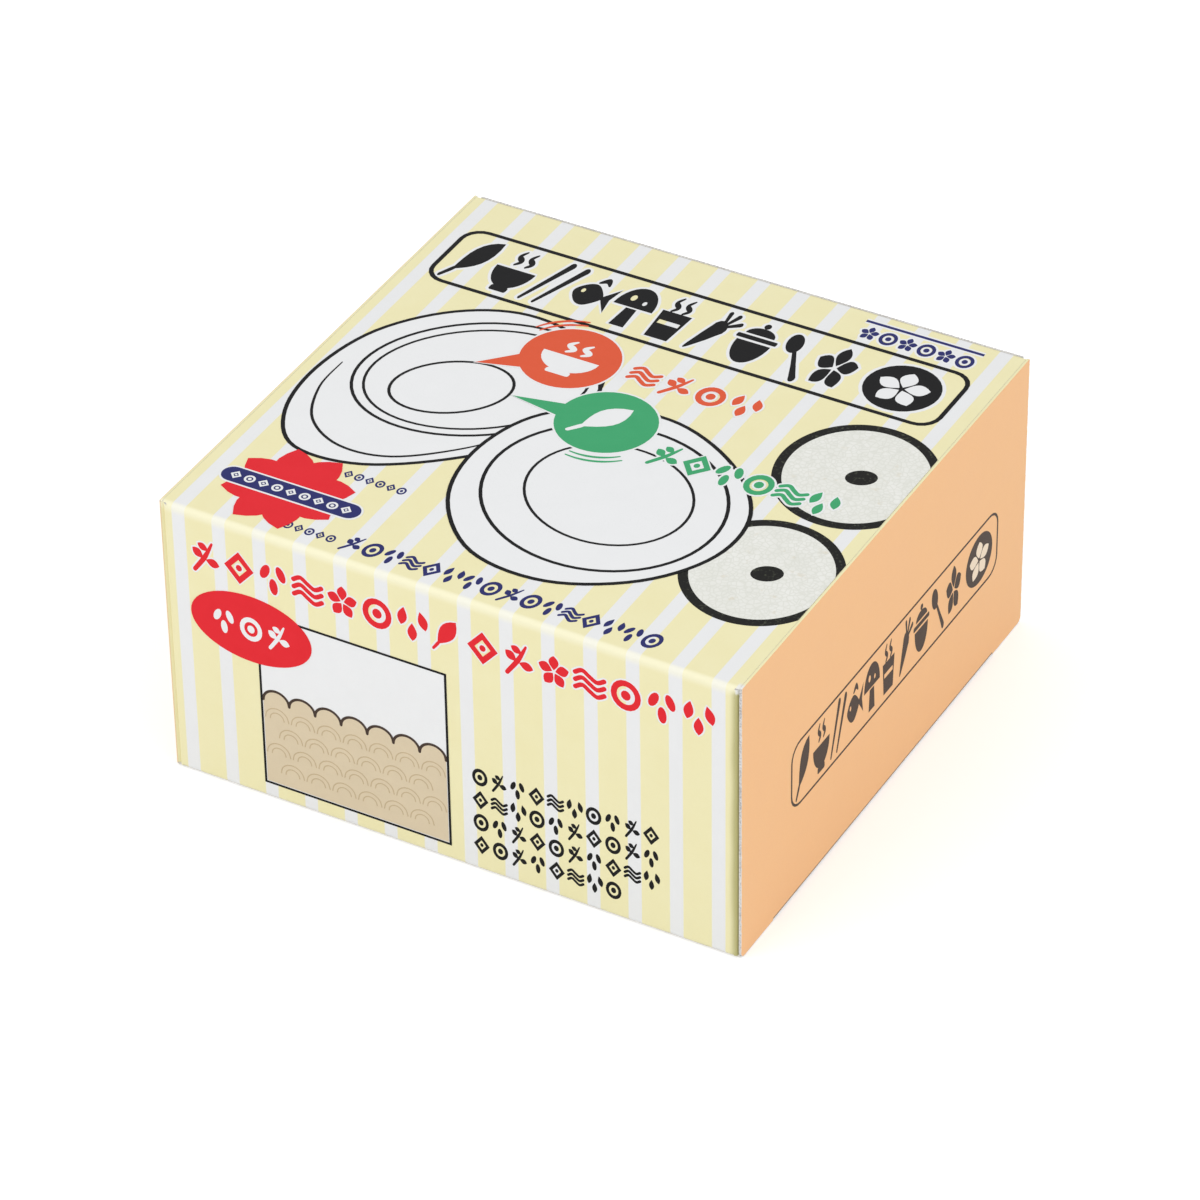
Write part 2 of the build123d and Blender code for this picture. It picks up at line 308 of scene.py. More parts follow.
def pick(piece, kind="FACE", chosen=lambda middle, way: True):
    """In edit mode, select the vertices, edges or faces whose middle and direction suit the choice."""
    bpy.ops.object.mode_set(mode="EDIT")
    bpy.ops.mesh.select_mode(type=kind)
    bpy.ops.mesh.select_all(action="DESELECT")
    mesh = bmesh.from_edit_mesh(piece.data)
    for part in {"VERT": mesh.verts, "EDGE": mesh.edges, "FACE": mesh.faces}[kind]:
        corners = [part.co] if kind == "VERT" else [v.co for v in part.verts]
        middle = sum(corners, Vector()) / len(corners)
        way = (corners[1] - corners[0]).normalized() if kind == "EDGE" else part.normal
        part.select_set(chosen(middle, way))
    bmesh.update_edit_mesh(piece.data)


def start(name, add, **sizes):
    """Add a primitive with nothing else selected."""
    clear_selection()
    add(**sizes)
    piece = bpy.context.object
    piece.name = piece.data.name = name
    return piece


def blank(name, add, low, high):
    """Add a primitive that fills the space between two corners. Those of a plane are two numbers each."""
    piece = start(name, add, size=2)
    low, high = (*low, -1.0)[:3], (*high, 1.0)[:3]
    pick(piece)
    bpy.ops.transform.resize(value=[(b - a) / 2 for a, b in zip(low, high)])
    bpy.ops.transform.translate(value=[(b + a) / 2 for a, b in zip(low, high)])
    return piece


def apply_modifier(piece, kind, **settings):
    bpy.ops.object.mode_set(mode="OBJECT")
    modifier = piece.modifiers.new(kind, kind)
    for setting, value in settings.items():
        setattr(modifier, setting, value)
    bpy.ops.object.modifier_apply(modifier=modifier.name)


def tidy_mesh(piece):
    """Merge doubles, then turn every face outwards."""
    bpy.ops.object.mode_set(mode="EDIT")
    bpy.ops.mesh.select_all(action="SELECT")
    bpy.ops.mesh.remove_doubles(threshold=MERGE_DISTANCE)
    bpy.ops.mesh.normals_make_consistent(inside=False)
    bpy.ops.object.mode_set(mode="OBJECT")


def dress(piece, *materials):
    """Give a piece these materials and no others."""
    piece.data.materials.clear()
    for material in materials:
        piece.data.materials.append(material)


def settle(piece, matrix, body):
    """Put a finished piece in its place, with its object at the origin."""
    bpy.ops.object.mode_set(mode="OBJECT")
    piece.data.transform(matrix)
    if matrix.to_3x3().determinant() < 0:
        piece.data.flip_normals()
    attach(piece, body)
    print(piece.name, len(piece.data.polygons), "faces on", body)


def thicken(piece, printed, even=True):
    """Give a printed sheet its thickness, inwards, with raw cut edges and a plain inside."""
    tidy_mesh(piece)
    dress(piece, printed, RAW, INSIDE)
    apply_modifier(piece, "SOLIDIFY", thickness=CARD, offset=-1.0, use_even_offset=even,
                   material_offset=2, material_offset_rim=1)
    bpy.ops.object.shade_smooth_by_angle(angle=SMOOTH_ANGLE)


def print_span(piece):
    """Print a piece's span along X, Y and Z, in millimetres."""
    spans = [sorted(v.co[axis] / MM for v in piece.data.vertices) for axis in range(3)]
    print(piece.name, [(round(span[0], 2), round(span[-1], 2)) for span in spans])


print("helpers for modelling are ready")

# %% [markdown]
# Of the sleeve round the mould, the top, front and back show. Each is a plane with half a crease rolled along
# one or both long edges, so that two neighbours meet in the middle of the crease and the stripes run over it.

# %% Top, front and back panels
BEND = CREASE - RECESS
SIDE_REACH = DUST_AXIS_X + BEND - FOLD
HALF_CREASE = 45  # degrees
TOP_BACK_EDGE, TOP_BACK_TURN, TOP_BACK_BEND = 56.8, 75, 0.4
BACK_DROP = 0.2  # from the top of the carton to the back panel's cut edge


def roll_edge(piece, up_at, degrees, radius):
    """Roll the long edge that lies at a height of the drawing round the crease behind it."""
    pick(piece, "EDGE", lambda middle, way: abs(middle.y - up_at) < 0.001 and abs(way.x) > 0.9)
    bpy.ops.mesh.spin(steps=9, angle=math.radians(degrees), center=(0, up_at, -radius), axis=(1, 0, 0))


def sleeve_panel(name, node, face, half_run, low, high, high_turn, high_bend=BEND):
    piece = blank(name, PLANE, (-half_run, low), (half_run, high))
    if high_turn:
        roll_edge(piece, high, high_turn, high_bend)
    roll_edge(piece, low, -HALF_CREASE, BEND)
    thicken(piece, STRIPED)
    settle(piece, FACES[face], "carton")
    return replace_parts(piece, node)


sleeve = [
    sleeve_panel("top_card", "top_panel", "top", TOP_REACH, CREASE - HALF_DEPTH,
                 TOP_BACK_EDGE, TOP_BACK_TURN, TOP_BACK_BEND),
    sleeve_panel("front_card", "front_panel", "front", SIDE_REACH, CREASE, HEIGHT - CREASE, HALF_CREASE),
    sleeve_panel("back_card", "back_panel", "back", SIDE_REACH, CREASE, HEIGHT - BACK_DROP, 0),
]
for card in sleeve:
    print_span(card)

# %% [markdown]
# An end panel hangs from the top panel and closes the end. Its cut edge shows beside the front panel, its
# upper edge is folded sharply, and a long notch at its foot leaves two shoulders that hold the tuck flap.
# It starts as a cube, because its cut edges show: Bevel rounds its corners and its upper edge. One Boolean
# takes out the notch, and another thins the card above it, where the crease of the tuck flap lies. The left
# panel's front edge slopes inwards, to the fold behind it, so that no dark gap shows there.

# %% End panels
FOOT = 0.1  # air under the panel
END_TOP = HEIGHT - RECESS
FOOT_CORNER = {"right": 1.5, "left": 0.6}
TOP_CORNER, TOP_ROUND = 0.3, 0.14
NOTCH_HALF, NOTCH_TOP = 45.15, 0.45
LIP, LIP_TOP = 0.12, 2.4  # the card is this thin above the notch, up to this height
SLOPE_RUN, SLOPE_SHIFT = 1.2, (-0.5, 0, -0.26)


def cut_box(piece, low, high):
    """Take a box out of a piece."""
    cutter = blank("cutter", CUBE, low, high)
    clear_selection()
    piece.select_set(True)
    bpy.context.view_layer.objects.active = piece
    apply_modifier(piece, "BOOLEAN", object=cutter, operation="DIFFERENCE", solver="EXACT")
    bpy.data.objects.remove(cutter)


def end_card(side):
    piece = blank(side + "_end_card", CUBE, (-END_HALF_WIDTH, FOOT, -END_CARD), (END_HALF_WIDTH, END_TOP, 0))
    pick(piece, "EDGE", lambda middle, way: abs(way.z) > 0.9 and middle.y < 1)
    bpy.ops.mesh.bevel(offset=FOOT_CORNER[side], segments=6)
    pick(piece, "EDGE", lambda middle, way: abs(way.z) > 0.9 and middle.y > 60)
    bpy.ops.mesh.bevel(offset=TOP_CORNER, segments=3)
    pick(piece, "EDGE", lambda middle, way: min(middle.y - END_TOP, middle.z) > -NEAR and abs(way.x) > 0.9)
    bpy.ops.mesh.bevel(offset=TOP_ROUND, segments=3)
    for top, out in ((NOTCH_TOP, 2), (LIP_TOP, -LIP)):
        cut_box(piece, (-NOTCH_HALF, -0.05, -2), (NOTCH_HALF, top, out))
    if side == "left":
        pick(piece)
        bpy.ops.mesh.bisect(plane_co=(END_HALF_WIDTH - SLOPE_RUN, 0, 0), plane_no=(1, 0, 0))
        pick(piece, "VERT",
             lambda middle, way: middle.x > END_HALF_WIDTH - NEAR and middle.z < NEAR - END_CARD)
        bpy.ops.transform.translate(value=SLOPE_SHIFT)
    tidy_mesh(piece)
    dress(piece, ORANGE, RAW, INSIDE, STRIPED)
    for polygon in piece.data.polygons:
        across, up, out = polygon.normal
        top_edge = polygon.center.y > END_TOP - 0.3 and up > 0.9
        front_edge = side == "left" and across > 0.7 and out < 0.1
        polygon.material_index = 0 if out > 0.3 else 2 if out < -0.9 else 3 if top_edge or front_edge else 1
    bpy.ops.object.shade_smooth_by_angle(angle=SMOOTH_ANGLE)
    settle(piece, FACES[side], side + "_end_panel")
    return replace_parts(piece, side + "_end_panel")


for side in ("right", "left"):
    print_span(end_card(side))

# %% [markdown]
# The dust flaps lie behind the end panels, and each begins with a fold at the corner of the carton. The
# right front one shows as a rounded yellow edge. Their free end slopes, which Bisect cuts as scissors would.

# %% Dust flaps
DUST_REACH = 40.0
DUST_LOW, DUST_HIGH = 1.5, 59.0
FOLD_RISE, FOLD_DROP = {"front": 1.95, "back": 1.75}, 0.95  # the fold reaches past the flap, up and down
SINK = 0.02  # the fold lies this far inside the faces beside it


def dust_flap(side, end):
    across = -1 if side == "left" else 1
    deep = -1 if end == "front" else 1
    piece = blank(side + "_" + end + "_dust_card", PLANE, (0, DUST_LOW), (DUST_REACH, DUST_HIGH))
    bpy.ops.mesh.bisect(plane_co=(0, DUST_HIGH, 0), plane_no=(0.45, 0.9, 0), clear_outer=True)
    pick(piece)
    bpy.ops.mesh.bisect(plane_co=(12.0, 4.2, 0), plane_no=(0.9, -0.9, 0), clear_outer=True)
    pick(piece, "EDGE", lambda middle, way: middle.x < 0.001)
    bpy.ops.mesh.spin(steps=10, angle=math.radians(90), center=(0, 0, -FOLD), axis=(0, 1, 0))
    for level, longer in ((DUST_HIGH, FOLD_RISE[end]), (DUST_LOW, -FOLD_DROP)):
        pick(piece, "VERT", lambda middle, way: middle.x < -NEAR and abs(middle.y - level) < NEAR)
        bpy.ops.transform.translate(value=(0, longer, 0))
    thicken(piece, STRIPED)
    matrix = TO_METRES @ Matrix((
        (0, 0, across, across * (SIDE_REACH + FOLD - SINK)),
        (-deep, 0, 0, deep * (HALF_DEPTH - RECESS - FOLD - SINK)),
        (0, 1, 0, 0),
        (0, 0, 0, 1)))
    settle(piece, matrix, side + "_" + end + "_dust_flap")
    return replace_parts(piece, side + "_" + end + "_dust_flap")


for side in ("right", "left"):
    for end in ("front", "back"):
        print_span(dust_flap(side, end))

# %% [markdown]
# The tuck flap goes on from the foot of the end panel: a crease, then a tongue with two rounded corners that
# slides in under the mould. Only its crease shows while the carton is closed.

# %% Tuck flaps
TUCK_REACH, TUCK_HALF = 14.0, 44.6
TUCK_CORNER, TUCK_BEND = 8.5, 0.62
TUCK_TURN = math.radians(140)
TUCK_TILT = math.radians(4.1603)


def tuck_flap(side):
    piece = blank(side + "_tuck_card", PLANE, (-TUCK_REACH, -TUCK_HALF), (0, TUCK_HALF))
    pick(piece, "VERT", lambda middle, way: middle.x < 0.1 - TUCK_REACH)
    bpy.ops.mesh.bevel(offset=TUCK_CORNER, segments=8, affect="VERTICES")
    pick(piece, "EDGE", lambda middle, way: middle.x > -0.001)
    bpy.ops.mesh.spin(steps=14, angle=TUCK_TURN, center=(0, 0, TUCK_BEND), axis=(0, 1, 0))
    thicken(piece, ORANGE, even=False)
    across = -1 if side == "left" else 1
    matrix = (TO_METRES @ Matrix.Diagonal((across, 1, 1, 1))
              @ Matrix.Translation((TUCK_AXIS_X, 0, TUCK_AXIS_Z))
              @ Matrix.Rotation(TUCK_TILT, 4, "Y") @ Matrix.Translation((0, 0, -TUCK_BEND)))
    settle(piece, matrix, side + "_tuck_flap")
    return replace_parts(piece, side + "_tuck_flap")


for side in ("right", "left"):
    print_span(tuck_flap(side))

# %% [markdown]
# The mould, its lid and its press-out tongue keep the shapes of the CAD model. They are thin white
# polypropylene with a satin skin. The rice side is embossed with rows of small dots, and with finer ones
# between them, so that the rice doesn't stick: two Voronoi patterns feed one Bump node. The rice side is
# where the surface looks towards the middle of the cavity. Elsewhere the skin is all but smooth.

# %% White plastic
CAVITY_MIDDLE = (-6.0, 0.0, 28.0)
CAVITY_FLOOR, CAVITY_RIM = (12.8, 13.6), (43.0, 42.4)  # the dots fade in and out over these heights


def white_plastic():
    skin = Finish("white polypropylene", Roughness=0.38, IOR=1.49, Subsurface_Weight=0.06,
                  Subsurface_Radius=(0.002, 0.002, 0.002))
    coarse, fine = (
        skin.node("ShaderNodeTexVoronoi", {}, {"Vector": skin.place, "Scale": scale, "Randomness": stray})
        for scale, stray in ((0.55, 0.15), (1.9, 0.2)))
    dots = skin.rise(coarse, 0.42, 0.2)
    grain = skin.rise(fine, 0.45, 0.25)
    normal = skin.node("ShaderNodeTexCoord", output="Normal")
    inwards = skin.node("ShaderNodeVectorMath", {"operation": "SUBTRACT"}, {0: CAVITY_MIDDLE, 1: skin.place})
    facing = skin.node("ShaderNodeVectorMath", {"operation": "DOT_PRODUCT"}, {0: normal, 1: inwards}, "Value")
    in_cavity = skin.rise(skin.z, *CAVITY_FLOOR) * skin.rise(skin.z, *CAVITY_RIM)
    rice_side = skin.rise(facing, 0.0, 3.0) * in_cavity
    flow = skin.noise(9.0)
    skin.wire("Base Color", skin.blend(flow, colour(234, 235, 236), colour(242, 242, 241)))
    skin.wire("Roughness", 0.33 + flow * 0.1)
    skin.bump((dots + grain * 0.4) * (0.06 + rice_side * 0.94), 0.12, 0.6)
    return skin.material


PLASTIC = white_plastic()
CARRIED = {"mould_case": PLASTIC, "mould_lid": PLASTIC, "push_tab": PLASTIC,
           "bottom_panel": INSIDE, "glue_flap": INSIDE}
for node, material in CARRIED.items():
    dress(nodes[node], material)
print("carried-over nodes", sorted(CARRIED))

# %% [markdown]
# The prints lie on the card as very thin plates, one for each ink. A plate is drawn like a cut paper shape:
# closed outlines on a flat curve, which Blender fills and which then becomes a mesh. First come the pens: an
# oval, a rounded box, a brush stroke along a smooth line, and a closed line of even width.

# %% Pens
LINE_STEPS = 7  # points from one given point of a smooth line to the next
CAP_STEPS = 6
LOOP_REACH = 12  # sides over which a crossing is looked for


def bow(x, y, across, up, first, last, steps):
    """Points along part of an oval, from one angle to another, in radians."""
    angles = [first + (last - first) * step / steps for step in range(steps + 1)]
    return [(x + across * math.cos(angle), y + up * math.sin(angle)) for angle in angles]


def oval(x, y, across, up=None, turn=0.0, steps=32):
    up = up or across
    c, s = math.cos(turn), math.sin(turn)
    return [(x + a * c - b * s, y + a * s + b * c)
            for a, b in bow(0, 0, across, up, 0, 2 * math.pi, steps)[:-1]]


def half_disc(x, y, across, up):
    """Half an oval, above its flat side, or below it where up is negative."""
    return bow(x, y, across, up, 0, math.pi, 16)


def box(left, low, right, high, radius=0.0):
    if not radius:
        return [(left, low), (right, low), (right, high), (left, high)]
    points = []
    for x, y, first in ((right - radius, high - radius, 0), (left + radius, high - radius, 90),
                        (left + radius, low + radius, 180), (right - radius, low + radius, 270)):
        points += bow(x, y, radius, radius, math.radians(first), math.radians(first + 90), 5)
    return points


def between(p, q, r, s, t):
    """Smooth curve from q to r, at share t of the way, with p before q and s after r."""
    return 0.5 * (2 * q + (r - p) * t + (2 * p - 5 * q + 4 * r - s) * t**2 + (3 * q - p - 3 * r + s) * t**3)


def smooth_line(points, closed=False):
    """Points along a smooth line through the given ones."""
    ends = [points[-1], *points, points[0], points[1]] if closed else [points[0], *points, points[-1]]
    line = []
    for corners in zip(ends, ends[1:], ends[2:], ends[3:]):
        for step in range(LINE_STEPS):
            line.append(tuple(between(*values, step / LINE_STEPS) for values in zip(*corners)))
    return line if closed else line + [points[-1]]


def sides(line, widths, closed=False):
    """The two sides of a line, at half the width that is asked for at each share of its run."""
    widths = [*widths, *widths] if len(widths) == 1 else widths
    left, right = [], []
    count = len(line)
    for i, (x, y) in enumerate(line):
        ahead = line[(i + 1) % count] if closed else line[min(i + 1, count - 1)]
        behind = line[i - 1] if closed or i else line[0]
        along = Vector((ahead[0] - behind[0], ahead[1] - behind[1])).normalized()
        share = i / (count - 1) * (len(widths) - 1)
        whole = min(int(share), len(widths) - 2)
        half = (widths[whole] + (widths[whole + 1] - widths[whole]) * (share - whole)) / 2
        left.append((x - along.y * half, y + along.x * half))
        right.append((x + along.y * half, y - along.x * half))
    return left, right


def uncrossed(outline):
    """The outline without the small loops that it makes where a wide line bends tightly."""
    for _ in range(len(outline)):
        for step in range(min(LOOP_REACH, len(outline) - 2), 1, -1):
            after = outline[(step + 1) % len(outline)]
            spot = intersect_line_line_2d(outline[0], outline[1], outline[step], after)
            if spot:
                outline = [outline[0], tuple(spot)] + outline[step + 1:]
                break
        outline = outline[1:] + outline[:1]
    return outline


def cap(x, y, rim):
    """Round end of a stroke, from a point on its rim to the other side."""
    reach = Vector((rim[0] - x, rim[1] - y))
    turned = [Matrix.Rotation(math.pi * step / CAP_STEPS, 2) @ reach for step in range(1, CAP_STEPS)]
    return [(x + spin.x, y + spin.y) for spin in turned]


def brush(points, *widths):
    """Outline of a brush stroke with round ends, through the points, with the widths spread along it."""
    line = smooth_line(points)
    left, right = sides(line, widths)
    return right + cap(*line[-1], right[-1]) + left[::-1] + cap(*line[0], left[0])


def closed_line(points, width):
    """A closed line of even width: its outer and its inner side."""
    return list(sides(smooth_line(points, closed=True), [width], closed=True))


def petal(x, y, length, width, turn):
    """Pointed leaf shape that starts at a point."""
    edge = [(step / 8, 0.5 * math.sin(math.pi * (step / 8) ** 1.15) ** 0.85) for step in range(1, 8)]
    shape = [(0, 0)] + [(a, -b) for a, b in edge] + [(1, 0)] + edge[::-1]
    c, s = math.cos(turn), math.sin(turn)
    return [(x + a * length * c - b * width * s, y + a * length * s + b * width * c) for a, b in shape]


print("pens are ready")

# %% [markdown]
# A plate lies at a level, counted in layers above the card, so that a white edge can lie under a black shape
# and a motif over a disc. Growing a shape by a little gives an even white edge round it. Shapes of one plate
# may overlap, and faces at exactly one height would flicker there, so each is a hair thicker than the last.

# %% The press
STAIR = 0.0008
STAIRS = 9  # after so many shapes the thickness starts again
INK_SHINE = 0.1


def press(name, face, level, film, shapes, grow=0.0):
    """Print shapes in one ink. Each shape is a list of closed outlines: the first, and holes in it."""
    clear_selection()
    for index, shape in enumerate(shapes):
        curve = bpy.data.curves.new(name, "CURVE")
        curve.dimensions = "2D"
        curve.fill_mode = "BOTH"
        curve.extrude = (level + 2) * LAYER / 2 + index % STAIRS * STAIR
        for outline in shape:
            area = sum(a[0] * b[1] - b[0] * a[1] for a, b in zip(outline, outline[1:] + outline[:1]))
            if area < 0:
                outline = outline[::-1]
            if grow:
                outline = sides(outline, [2 * grow], closed=True)[1]
            outline = uncrossed(outline)
            spline = curve.splines.new("POLY")
            spline.points.add(len(outline) - 1)
            for point, (x, y) in zip(spline.points, outline):
                point.co = (x, y, 0, 1)
            spline.use_cyclic_u = True
        piece = bpy.data.objects.new(name, curve)
        bpy.context.scene.collection.objects.link(piece)
        piece.select_set(True)
    bpy.context.view_layer.objects.active = piece
    bpy.ops.object.convert(target="MESH")
    if len(shapes) > 1:
        bpy.ops.object.join()
    piece = bpy.context.object
    piece.name = piece.data.name = name
    tidy_mesh(piece)
    piece.data.transform(Matrix.Translation((0, 0, level * LAYER / 2)))
    dress(piece, film)
    settle(piece, FACES[face], RIDES[face])


def ink(name, shade, spread=6.0):
    """Printing ink: a colour that lies a little thinner in places, and shines less than the card."""
    film = Finish(name, Roughness=0.45, Specular_IOR_Level=INK_SHINE)
    cloud = film.noise(4.0, 3.0)
    speck = film.noise(0.35)
    thin = colour(*[min(255, part + spread * (1.5 if part < 90 else 1.0)) for part in shade])
    full = colour(*[max(0, part - spread * 0.6) for part in shade])
    film.wire("Base Color", film.blend(cloud * 0.7 + speck * 0.3, full, thin))
    film.wire("Roughness", 0.39 + cloud * 0.12)
    film.bump(speck, 0.01)
    return film.material


BLACK = ink("black ink", (13, 13, 15), 4.0)
WHITE = ink("white of the card", (236, 237, 238), 3.0)
ORANGE_INK = ink("orange ink", (222, 90, 56))
GREEN_INK = ink("green ink", (62, 164, 110))
RED_INK = ink("red ink", (226, 36, 46))
NAVY_INK = ink("navy ink", (38, 42, 104))
TAN_INK = ink("tan ink", (217, 201, 172))
BROWN_INK = ink("brown ink", (66, 52, 44))
FAN_INK = ink("fan ink", (196, 176, 142))
PALE_INK = ink("pale ink", (240, 222, 198), 4.0)
print("ten inks")

# %% [markdown]
# The prints are small kitchen pictures of one family, drawn in a square from -1 to 1 and then set in rows,
# large for the title and small elsewhere. Each is a few brush strokes and cut shapes.

# %% Kitchen pictures
STEAM = [(-0.3, 0.32), (-0.12, 0.52), (-0.36, 0.72), (-0.2, 0.97)]
RIPPLE = [(-0.9, 0.45), (-0.45, 0.68), (0, 0.42), (0.45, 0.2), (0.9, 0.42)]
FISH = [(-0.98, 0.02), (-0.6, 0.42), (-0.1, 0.5), (0.42, 0.12), (0.42, -0.12), (-0.1, -0.5), (-0.6, -0.42)]
FIFTHS = [math.radians(90 + 72 * i) for i in range(5)]


def steam(across, up, width):
    return [[brush([(x + across + step, y + up) for x, y in STEAM], 0.1, width, 0.08)] for step in (0, 0.55)]


PICTURES = {
    "bowl": [[half_disc(0, 0.12, 0.98, -0.92)], [box(-0.42, -0.98, 0.42, -0.74, 0.08)], *steam(0, 0, 0.24)],
    "fish": [[smooth_line(FISH, closed=True), oval(-0.58, 0.12, 0.1, steps=12)],
             [[(0.36, 0.0), (0.98, 0.58), (0.82, 0.0), (0.98, -0.58)]],
             [brush([(-0.2, 0.62), (0.1, 0.78), (0.3, 0.6)], 0.1, 0.26, 0.1)]],
    "leaf": [[petal(-0.62, -0.62, 2.05, 0.95, 0.95)],
             [brush([(-0.9, -0.98), (-0.62, -0.62), (-0.4, -0.3)], 0.16, 0.2, 0.1)]],
    "sticks": [[brush([(-0.85, -0.95), (0.1, 0.95)], 0.14, 0.3)],
               [brush([(-0.15, -0.95), (0.85, 0.9)], 0.14, 0.3)]],
    "cup": [[[(-0.72, 0.3), (-0.56, -0.95), (0.56, -0.95), (0.72, 0.3)], box(-0.52, -0.3, 0.52, -0.12)],
            *steam(-0.05, 0.02, 0.22)],
    "mushroom": [[half_disc(0, 0.0, 0.96, 0.95), oval(-0.3, 0.42, 0.14, steps=14),
                  oval(0.34, 0.3, 0.1, steps=14)],
                 [[(-0.26, -0.06), (-0.36, -0.92), (0.36, -0.92), (0.26, -0.06)]]],
    "flower": [[petal(0.1 * math.cos(a), 0.1 * math.sin(a), 0.88, 0.62, a)] for a in FIFTHS],
    "spoon": [[oval(-0.36, 0.52, 0.36, 0.46, 0.6)],
              [brush([(-0.12, 0.2), (0.3, -0.35), (0.72, -0.92)], 0.16, 0.2, 0.3)]],
    "carrot": [[brush([(0.12, 0.22), (-0.2, -0.3), (-0.6, -0.92)], 0.74, 0.5, 0.1)],
               [brush([(0.2, 0.4), (0.1, 0.95)], 0.12, 0.2)],
               [brush([(0.28, 0.42), (0.55, 0.9)], 0.12, 0.22)],
               [brush([(0.34, 0.34), (0.88, 0.6)], 0.12, 0.2)]],
    "pot": [[half_disc(0, 0.05, 0.82, -0.98)], [box(-0.98, 0.14, 0.98, 0.32, 0.06)],
            [half_disc(0, 0.4, 0.7, 0.34)], [oval(0, 0.86, 0.16, 0.12, steps=14)]],
    "grains": [[oval(-0.52, 0.34, 0.27, 0.5, -0.5, 14)], [oval(0.5, 0.42, 0.27, 0.5, 0.4, 14)],
               [oval(0.0, -0.48, 0.27, 0.5, 0.1, 14)]],
    "diamond": [[[(-0.95, 0), (0, -1.0), (0.95, 0), (0, 1.0)], [(-0.5, 0), (0, -0.52), (0.5, 0), (0, 0.52)]],
                [oval(0, 0, 0.2, steps=10)]],
    "ring": [[oval(0, 0, 0.92, steps=20), oval(0, 0, 0.56, steps=20)], [oval(0, 0, 0.3, steps=12)]],
    "ripple": [[brush([(x, y - 0.45 * i) for x, y in RIPPLE], 0.27)] for i in range(3)],
    "sprig": [[brush([(-0.7, -0.95), (0.0, 0.0), (0.5, 0.95)], 0.26, 0.3, 0.14)],
              [petal(-0.1, -0.1, 0.85, 0.54, 2.5)], [petal(0.05, -0.15, 0.9, 0.54, -0.2)],
              [petal(0.25, 0.45, 0.75, 0.46, 2.7)]],
    "drops": [[petal(-0.5, 0.98, 1.15, 0.6, -1.75)], [petal(0.5, 0.98, 1.15, 0.6, -1.25)],
              [petal(0.0, 0.12, 1.1, 0.6, -1.57)]],
}


def placed(name, x, y, half_x, half_y=None, slant=0.0):
    """The shapes of a picture at its place and size."""
    half_y = half_y or half_x
    return [[[(x + (a + slant * b) * half_x, y + b * half_y) for a, b in outline] for outline in shape]
            for shape in PICTURES[name]]


def row(names, first, last, y, half_x, half_y=None, slant=0.0):
    """Pictures side by side at an even pitch."""
    shapes = []
    for i, name in enumerate(names):
        x = first + (last - first) * i / (len(names) - 1)
        shapes += placed(name, x, y, half_x, half_y, slant)
    return shapes


TITLE = ["leaf", "bowl", "sticks", "fish", "mushroom", "cup", "carrot", "pot", "spoon", "flower"]
print(len(PICTURES), "pictures")

# %% [markdown]
# The title is a rounded frame with a row of bold pictures and a black disc. A white edge lifts the pictures
# off the stripes, as on the real card. Behind its right end stands a short row of navy marks with a bar.

# %% Title on the top panel
TITLE_ROW = row(TITLE, -48.3, 29.0, 37.4, 4.3, 7.3)
TITLE_FRAME = [box(-55.0, 27.9, 54.1, 47.3, 4.4), box(-54.1, 28.8, 53.2, 46.4, 3.6)]
TITLE_DISC = (43.2, 37.5)
press("title_edge", "top", 0, WHITE, TITLE_ROW, grow=0.6)
press("title_pictures", "top", 1, BLACK, TITLE_ROW + [TITLE_FRAME])
press("title_disc_edge", "top", 0, WHITE, [[oval(*TITLE_DISC, 8.2)]])
press("title_disc", "top", 1, BLACK, [[oval(*TITLE_DISC, 7.5)]])
press("title_disc_flower", "top", 2, WHITE, placed("flower", 43.2, 37.2, 5.6))
CORNER_ROW = row(["flower", "ring"] * 3, 29.6, 49.6, 50.7, 1.95, 2.3) + [[box(27.2, 54.0, 51.9, 54.7)]]
press("corner_edge", "top", 0, WHITE, CORNER_ROW, grow=0.45)
press("corner_marks", "top", 1, NAVY_INK, CORNER_ROW)

# %% [markdown]
# Two large line drawings fill the middle: a deep bowl and a round dish. Their white goes down first, their
# black lines lie on it, and the dish lies over the bowl.

# %% Bowl and dish
BOWL = [(-56.6, -8.0), (-53.0, 8.0), (-43.0, 20.5), (-30.0, 26.0), (-16.0, 22.5), (-5.5, 9.0),
        (-7.0, -6.0), (-18.0, -20.0), (-33.0, -30.5), (-47.0, -31.5), (-54.5, -22.5)]
BOWL_SHADE = [(-53.2, -4.0), (-52.8, -13.0), (-48.6, -22.4), (-40.0, -27.4), (-29.6, -26.0),
              (-19.0, -17.4), (-11.8, -7.6)]
DISH = [(-17.0, -18.0), (-13.0, -3.0), (-2.0, 6.0), (12.0, 8.0), (27.0, 1.0), (37.0, -11.0),
        (37.5, -25.0), (29.0, -38.0), (14.0, -46.0), (-2.0, -44.5), (-13.5, -33.0)]
BOWL_TURN, DISH_TURN = 0.62, -0.35


def oval_line(x, y, across, up, turn, steps, width):
    return [oval(x, y, across, up, turn, steps), oval(x, y, across - width, up - width, turn, steps)]


